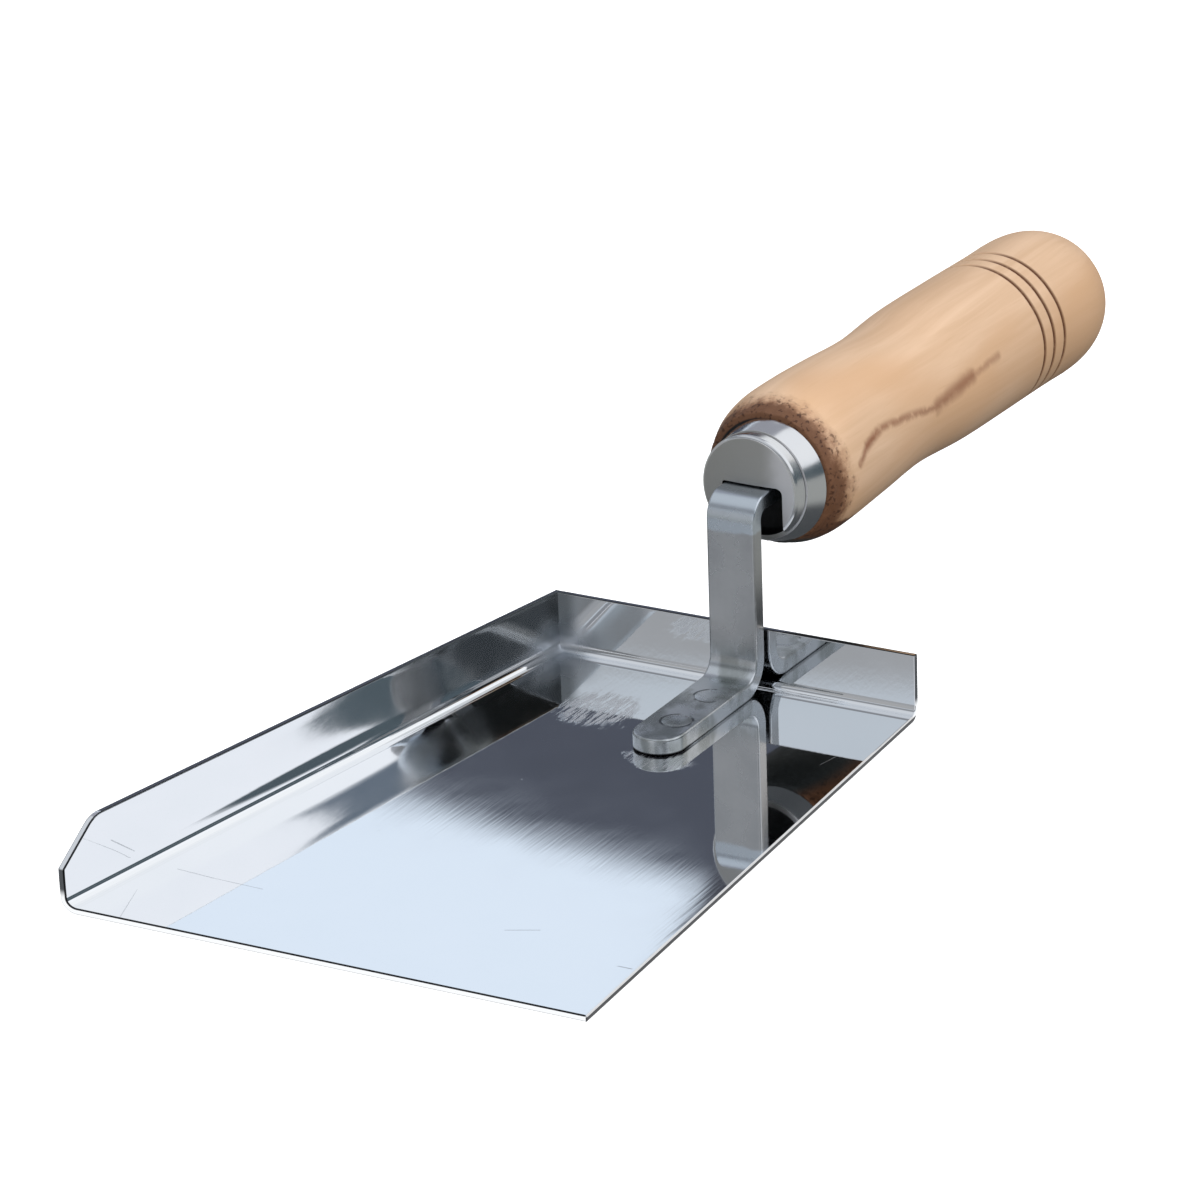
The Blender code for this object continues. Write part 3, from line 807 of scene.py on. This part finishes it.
def cut_wall(bm, above, place, direction):
    """Adds a row of edges across the part of the left wall that lies above a height."""
    wall = []
    for face in bm.faces:
        middle = face.calc_center_median()
        if middle.x < -BACK_LEFT + 4 * MM and middle.z > above:
            wall.append(face)
    edges = {edge for face in wall for edge in face.edges}
    verts = {vert for face in wall for vert in face.verts}
    geom = wall + list(edges) + list(verts)
    bmesh.ops.bisect_plane(bm, geom=geom, dist=1e-6, plane_co=place, plane_no=direction)


def spring_back(obj):
    """The left wall keeps bending a little above the fold, by the amounts in SPRING."""
    bm = bmesh.new()
    bm.from_mesh(obj.data)
    bottom = SHEET + LEFT_BEND
    # rows that grow taller upwards, then columns along the wall
    for i in range(1, 11):
        cut_wall(bm, -SHEET, (0, 0, bottom + 0.55 * MM * i + 0.05 * MM * i * i), (0, 0, 1))
    columns = 16
    for i in range(1, columns):
        cut_wall(bm, SHEET + 0.2 * MM, (0, PAN_LENGTH * (i / columns - 0.5), 0), (0, 1, 0))
    side = Vector((FRONT_LEFT - BACK_LEFT, PAN_LENGTH)).normalized()
    inward = Vector((side.y, -side.x, 0))
    for vertex in bm.verts:
        x, y, z = vertex.co
        if x > left_edge(y) + 2 * MM or z < 0.05 * MM:
            continue
        amount = float(np.interp(y / MM, *zip(*SPRING))) * MM
        if z >= bottom:
            shift = exp(-(z - bottom) / SPRING_REACH)
        else:
            t = max(0.0, z / bottom)
            shift = t * t * (3 - 2 * t)
        vertex.co += inward * amount * shift
    bm.to_mesh(obj.data)
    bm.free()


def bar_profile():
    """Side view of the bent bar: foot, upright and tang."""
    foot_top = BAR_LIFT + BAR_THICKNESS
    face = NECK_BACK - BAR_THICKNESS
    top = SHEET + NECK_TOP
    under = top - BAR_THICKNESS
    end = FACE_Y + TANG_END
    fall = tan(DROOP) * (end - FACE_Y)
    return rounded(
        [
            (FOOT_END, BAR_LIFT, 0),
            (NECK_BACK, BAR_LIFT, FOOT_BEND + BAR_THICKNESS),
            (NECK_BACK, under, SHOULDER_BEND),
            (end, under - fall, 0),
            (end, top - fall, 0),
            (face, top, SHOULDER_BEND + BAR_THICKNESS),
            (face, foot_top, FOOT_BEND),
            (FOOT_END, foot_top, 0),
        ],
        steps=14,
    )


def make_neck():
    neck = prism("bent_neck", bar_profile(), -BAR_WIDTH, BAR_WIDTH, SIDE)
    half = BAR_WIDTH / 2
    shoulder, end = FACE_Y + TANG_TAPER, FACE_Y + TANG_END
    shift = tan(YAW) * TANG_END
    outline = rounded(
        [
            (-half, FOOT_END, half * 0.98),
            (half, FOOT_END, half * 0.98),
            (half, shoulder, 0),
            (TANG_TIP + shift, end, 0),
            (-TANG_TIP + shift, end, 0),
            (-half, shoulder, 0),
        ],
        steps=20,
    )
    height = SHEET + NECK_TOP + MARGIN
    boolean(neck, "INTERSECT", prism("neck_plan", outline, -height / 2, 1.5 * height))
    bevel(neck, NECK_ROUNDING, 4, 50)
    return smooth(neck, 40)


def make_plug(name, y):
    """The top of a plug weld, flush with the foot."""
    around = 64
    top = BAR_LIFT + BAR_THICKNESS + 0.03 * MM
    bm = bmesh.new()
    rings = [ring(bm, (WELD_X, y, top), 0, around)]
    for radius, rise in PLUG_RINGS:
        rings.append(ring(bm, (WELD_X, y, top + rise * MM), radius * MM, around))
    skin(bm, rings, around)
    bm.faces.new(rings[-1][::-1])
    bmesh.ops.recalc_face_normals(bm, faces=bm.faces)
    return smooth(finish_mesh(name, bm), 50)


def make_corner_weld():
    """A rippled bead up the corner where the two walls meet."""
    corner_x, corner_y = pan_plan(0, 0, 0)[3]
    around, rows = 24, 60
    low, high = BEAD_FOOT, SHEET + WALL_BACK - 0.2 * MM
    bm = bmesh.new()
    rings = []
    for row in range(rows + 1):
        t = row / rows
        ripple = 1 + 0.10 * sin(t * 42) + 0.06 * noise.noise(Vector((t * 9, 3.1, 0)))
        taper = min(1.0, 4.5 * t + 0.25, 4.5 * (1 - t) + 0.25)
        centre = (corner_x + BEAD_INSET, corner_y - BEAD_INSET, low + (high - low) * t)
        rings.append(ring(bm, centre, BEAD_RADIUS * ripple * taper, around))
    skin(bm, rings, around)
    bm.faces.new(rings[0][::-1])
    bm.faces.new(rings[-1])
    return smooth(finish_mesh("corner_weld_bead", bm), 60)


def lean(point):
    """The ferrule is a little narrower than tall, and drifts sideways and down as it runs back."""
    x, y, z = point
    return Vector((0.96 * x - 0.15 * z - 0.4 * MM, y + 0.04 * z, z))


def make_cap():
    """A slightly domed disc with a rounded edge and a notch that the bar passes through."""
    flat = CAP_RADIUS - CAP_EDGE
    profile = [(flat * i / 12, -CAP_DOME * (1 - (i / 12) ** 2)) for i in range(13)]
    for step in range(1, 9):
        angle = pi / 2 * step / 8
        profile.append((CAP_RADIUS - CAP_EDGE * (1 - sin(angle)), CAP_EDGE * (1 - cos(angle))))
    profile += [(CAP_RADIUS, CAP_DEPTH - 0.25 * MM), (CAP_RADIUS - 0.2 * MM, CAP_DEPTH), (0.0, CAP_DEPTH)]
    cap = turned("ferrule_end_cap", profile, 128, lean, closed=False)
    top = SHEET + NECK_TOP + NOTCH_GAP
    bottom = SHEET + FACE_HEIGHT - CAP_RADIUS - MARGIN
    outline = rounded(
        [
            (NOTCH_LEFT, bottom, 0),
            (NOTCH_RIGHT, bottom, 0),
            (NOTCH_RIGHT, top, 1.6 * MM),
            (NOTCH_LEFT, top, 0.6 * MM),
        ],
        steps=10,
    )
    across = Matrix(((1, 0, 0, 0), (0, 0, 1, FACE_Y), (0, 1, 0, 0), (0, 0, 0, 1)))
    boolean(cap, "DIFFERENCE", prism("cap_notch", outline, -MARGIN, MARGIN, across))
    return smooth(cap, 35)


def make_band():
    """A thin steel cone with rounded rims."""
    front, rear, start, end = BAND_FRONT_RADIUS, BAND_REAR_RADIUS, BAND_START, BAND_END
    profile = [
        (front - BAND_WALL, start),
        (front - 0.45 * MM, start),
        (front - 0.15 * MM, start + 0.12 * MM),
        (front, start + 0.45 * MM),
        ((front + rear) / 2 + 0.12 * MM, (start + end) / 2),
        (rear, end - 0.3 * MM),
        (rear - 0.1 * MM, end),
        (rear - BAND_WALL, end),
    ]
    return smooth(turned("ferrule_cone_band", profile, 128, lean), 35)


def catmull(stations, s):
    """The value at s of a smooth curve through the stations."""
    for i in range(len(stations) - 1):
        if stations[i][0] <= s <= stations[i + 1][0]:
            break
    p1, p2 = Vector(stations[i]), Vector(stations[i + 1])
    p0 = Vector(stations[i - 1]) if i > 0 else 2 * p1 - p2
    p3 = Vector(stations[i + 2]) if i + 2 < len(stations) else 2 * p2 - p1
    t = (s - p1.x) / (p2.x - p1.x)
    m1 = (p2.y - p0.y) / (p2.x - p0.x) * (p2.x - p1.x)
    m2 = (p3.y - p1.y) / (p3.x - p1.x) * (p2.x - p1.x)
    return (
        (2 * t**3 - 3 * t**2 + 1) * p1.y
        + (t**3 - 2 * t**2 + t) * m1
        + (-2 * t**3 + 3 * t**2) * p2.y
        + (t**3 - t**2) * m2
    )


def wood_radius(s):
    """Radius of the wood in mm at s mm along the axis, up to the rounded end."""
    shoulder, shoulder_radius = STATIONS[0]
    if s < shoulder:
        t = (s - WOOD_START) / (shoulder - WOOD_START)
        return WOOD_FRONT_RADIUS + (shoulder_radius - WOOD_FRONT_RADIUS) * t**0.6
    radius = catmull(STATIONS, s)
    for groove in GROOVES:
        away = abs(s - groove) / GROOVE_HALF_WIDTH
        if away < 1:
            radius -= GROOVE_DEPTH * (1 - away**2) ** 1.5
    return radius


def wood_profile():
    """Rings of (radius, distance back): bore, lip, turned length and rounded end."""
    steps = [WOOD_START + 0.13 * i for i in range(46)]
    s = steps[-1]
    while s < WOOD_ROUND:
        near = min(abs(s - groove) for groove in GROOVES)
        s += 0.12 if near < 1.3 else 0.8
        steps.append(min(s, WOOD_ROUND))
    rings = [(0.0, BORE_END), (11.0, BORE_END), (11.2, WOOD_START - 0.05), (13.6, WOOD_START - 0.05)]
    rings += [(wood_radius(s), s) for s in steps]
    count = 26
    for i in range(1, count):
        angle = pi / 2 * i / count
        radius = WOOD_END_RADIUS * cos(angle) ** (2 / END_POWER)
        rings.append((radius, WOOD_ROUND + (WOOD_END - WOOD_ROUND) * sin(angle) ** (2 / END_POWER)))
    rings.append((0.0, WOOD_END))
    return [(radius * MM, back * MM) for radius, back in rings]


def uneven(point):
    """Moves a point of the turned handle outwards: lumps at the front, a faint wave and FULLNESS."""
    back = -point.z / MM
    radius = (point.x**2 + point.y**2) ** 0.5
    if radius < 1e-6 or back < WOOD_START - 0.1:
        return point
    outward = Vector((point.x / radius, point.y / radius, 0))
    lumps = noise.fractal(point * 420, 0.9, 2.1, 4)
    fade = max(0.0, 1 - (back - WOOD_START) / 5.5)
    move = 0.28 * MM * lumps * fade + 0.06 * MM * noise.noise(point * 45)
    upper_left = max(0.0, outward.x * -0.63 + outward.y * 0.775)
    move += catmull(FULLNESS, back) * MM * upper_left
    return point + outward * move


def make_handle():
    return smooth(turned("turned_handle", wood_profile(), 192, uneven, closed=False), 60)


def finish_piece(obj, material, slot, *nodes):
    """Gives a piece its one material, puts it in the root body and hides its CAD nodes. The slot argument
    is not used.
    """
    obj.data.materials.clear()
    obj.data.materials.append(material)
    for polygon in obj.data.polygons:
        polygon.material_index = 0
    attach(obj, "root")
    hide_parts(*nodes)


pan_steel = make_pan_steel()
bar_steel = make_bar_steel()
weld_steel = make_weld_steel()
ferrule_steel = make_ferrule_steel()
wood = make_wood()

finish_piece(make_pan(), pan_steel, "pan_steel", "pan")
finish_piece(make_corner_weld(), weld_steel, "weld_steel", "corner_weld")
finish_piece(make_neck(), bar_steel, "neck_steel", "neck")
finish_piece(make_plug("front_weld_mark", FRONT_WELD_Y), weld_steel, "weld_steel", "front_plug_weld")
finish_piece(make_plug("rear_weld_mark", REAR_WELD_Y), weld_steel, "weld_steel", "rear_plug_weld")
finish_piece(make_cap(), ferrule_steel, "ferrule_steel", "ferrule_cap")
finish_piece(make_band(), ferrule_steel, "ferrule_steel", "ferrule_band")
finish_piece(make_handle(), wood, "handle_wood", "handle")


# ---------------------------------------------------------------- floor, light and camera
def make_floor():
    """A pale floor. The pan's mirror sees it bright close by, then dark, then grey farther off."""
    bm = bmesh.new()
    bmesh.ops.create_grid(bm, x_segments=8, y_segments=8, size=FLOOR_SIZE)
    floor = finish_mesh("pale_floor", bm)
    floor.location.z = -FLOOR_DROP
    made, n, shader, _ = new_material("pale_floor")
    path = n.node("ShaderNodeLightPath")
    seen = path.outputs["Is Camera Ray"]
    near = n.span(path.outputs["Ray Length"], 0.014, 0.008)
    distant = n.span(path.outputs["Ray Length"], 0.058, 0.085)
    bounce = n.mix(distant, rgb(0.04, 0.045, 0.05), rgb(0.33, 0.34, 0.33))
    bounce = n.mix(near, bounce, grey(1.05))
    bounce = n.mix(path.outputs["Is Diffuse Ray"], bounce, grey(0.05))
    n.put(shader.inputs["Base Color"], n.mix(seen, grey(0.04), grey(0.93)))
    n.put(shader.inputs["Emission Color"], n.mix(seen, bounce, grey(0.62)))
    shader.inputs["Emission Strength"].default_value = 1.0
    shader.inputs["Roughness"].default_value = 0.9
    shader.inputs["Specular IOR Level"].default_value = 0.1
    floor.data.materials.append(made)


def studio_behind(n, heading, height):
    """What is behind and beside the viewer."""
    colour = n.mix(n.span(height, 22.2, 22.9), rgb(0.40, 0.405, 0.415), rgb(0.60, 0.65, 0.70))
    colour = n.mix(n.span(heading, -157, -163), colour, rgb(0.95, 0.95, 0.98))
    colour = n.mix(n.span(height, 24.8, 28.5), colour, rgb(0.28, 0.29, 0.31))
    colour = n.mix(n.span(height, 40, 50), colour, rgb(0.66, 0.69, 0.73))
    unlit = n.times(n.span(heading, 95, 105), n.span(heading, 146, 138))
    unlit = n.times(unlit, n.span(height, 17, 19))
    return n.mix(n.times(unlit, n.span(height, 34, 30)), colour, rgb(0.09, 0.10, 0.11))


def studio_far(n, heading, height):
    """The far side: dark below, pale blue sky above, and a dark block at its right."""
    slide = n.math("MAXIMUM", n.add(heading, 30.1), -4.5)
    tilt = n.less(height, n.times(slide, 0.29))
    sky = n.mix(n.span(tilt, 23.78, 24.08), rgb(0.080, 0.089, 0.116), rgb(0.79, 0.885, 1.0))
    block = n.add(heading, n.times(n.less(height, 24.3), 0.73))
    sky = n.mix(n.span(block, -28.78, -28.62), sky, rgb(0.058, 0.062, 0.078))
    return n.mix(n.span(height, 26.5, 30), sky, rgb(0.36, 0.37, 0.42))


def studio_right(n, heading, height):
    """The right side: a dull pale part, a dark part and a bright part with a rounded end."""
    over = n.math("MAXIMUM", n.less(height, 24.9), 0)
    slanted = n.add(heading, n.times(n.less(height, 22.3), 0.28))
    slanted = n.add(slanted, n.times(n.times(over, over), 0.19))
    lit = n.times(n.span(slanted, 49.48, 49.72), n.span(height, 17.2, 18.6))
    dull = n.mix(n.span(height, 22.6, 23.6), rgb(0.085, 0.112, 0.130), rgb(0.150, 0.185, 0.230))
    side = n.mix(n.span(heading, 39, 43), rgb(0.78, 0.76, 0.74), dull)
    return n.mix(lit, side, rgb(1.0, 1.02, 1.06))


def add_bright_sky(n, heading, height, colour):
    """Bright sky over the right side."""
    lower = n.span(heading, 25, 50, 29, 24.6)
    where = n.times(n.span(n.less(height, lower), 0, 1.5), n.span(height, 52, 46))
    where = n.times(where, n.times(n.span(heading, -30, -15), n.span(heading, 100, 80)))
    bright = n.mix(n.span(heading, 39, 45), rgb(0.98, 1.0, 1.02), rgb(1.02, 1.04, 1.07))
    return n.mix(where, colour, bright)


def make_world():
    """A soft studio described by heading (degrees from +Y towards +X) and elevation."""
    world = bpy.data.worlds.new("studio")
    bpy.context.scene.world = world
    world.use_nodes = True
    n = Nodes(world.node_tree)
    way = n.node("ShaderNodeTexCoord").outputs["Generated"]
    x, y, z = (axis(n, way, index) for index in range(3))
    heading = n.times(n.math("ARCTAN2", x, y), 180 / pi)
    height = n.times(n.math("ARCSINE", z), 180 / pi)
    far = n.times(n.span(heading, -62, -52), n.span(heading, 8, 2))
    beside = n.times(n.span(heading, 2, 8), n.span(heading, 128, 118))
    colour = n.mix(far, studio_behind(n, heading, height), studio_far(n, heading, height))
    colour = n.mix(beside, colour, studio_right(n, heading, height))
    colour = add_bright_sky(n, heading, height, colour)
    seen = n.node("ShaderNodeLightPath").outputs["Is Camera Ray"]
    back = n.node("ShaderNodeBackground")
    n.put(back.inputs[0], n.mix(seen, colour, grey(0.95)))
    back.inputs[1].default_value = 1.0
    out = n.node("ShaderNodeOutputWorld")
    n.tree.links.new(back.outputs[0], out.inputs[0])


def area(name, place, size, power):
    """A square lamp that no mirror shows."""
    light = bpy.data.lights.new(name, "AREA")
    light.shape = "RECTANGLE"
    light.size = size
    light.size_y = size
    light.energy = power
    obj = link(name, light)
    obj.visible_glossy = False
    obj.location = place
    obj.rotation_euler = (Vector(LIGHT_TARGET) - Vector(place)).to_track_quat("-Z", "Y").to_euler()


def make_camera():
    az, el, roll = CAMERA_AZIMUTH, CAMERA_ELEVATION, CAMERA_ROLL
    back = Vector((sin(az) * cos(el), -cos(az) * cos(el), sin(el)))
    right = (-back).cross(Vector((0, 0, 1))).normalized()
    up = right.cross(-back)
    turned_right = right * cos(roll) + up * sin(roll)
    turned_up = up * cos(roll) - right * sin(roll)
    data = bpy.data.cameras.new("camera")
    data.sensor_width = 36.0
    data.lens = CAMERA_LENS
    data.clip_start = 0.05
    data.clip_end = 20.0
    obj = link("camera", data)
    place = Matrix((turned_right, turned_up, back)).transposed().to_4x4()
    place.translation = CAMERA_PLACE
    obj.matrix_world = place
    bpy.context.scene.camera = obj


make_floor()
make_world()
area("key_light", (-0.35, -0.2, 1.6), size=1.1, power=8.6)
area("fill_light", (1.3, -0.7, 0.75), size=1.0, power=20)
make_camera()
bpy.context.scene.view_settings.view_transform = "Standard"
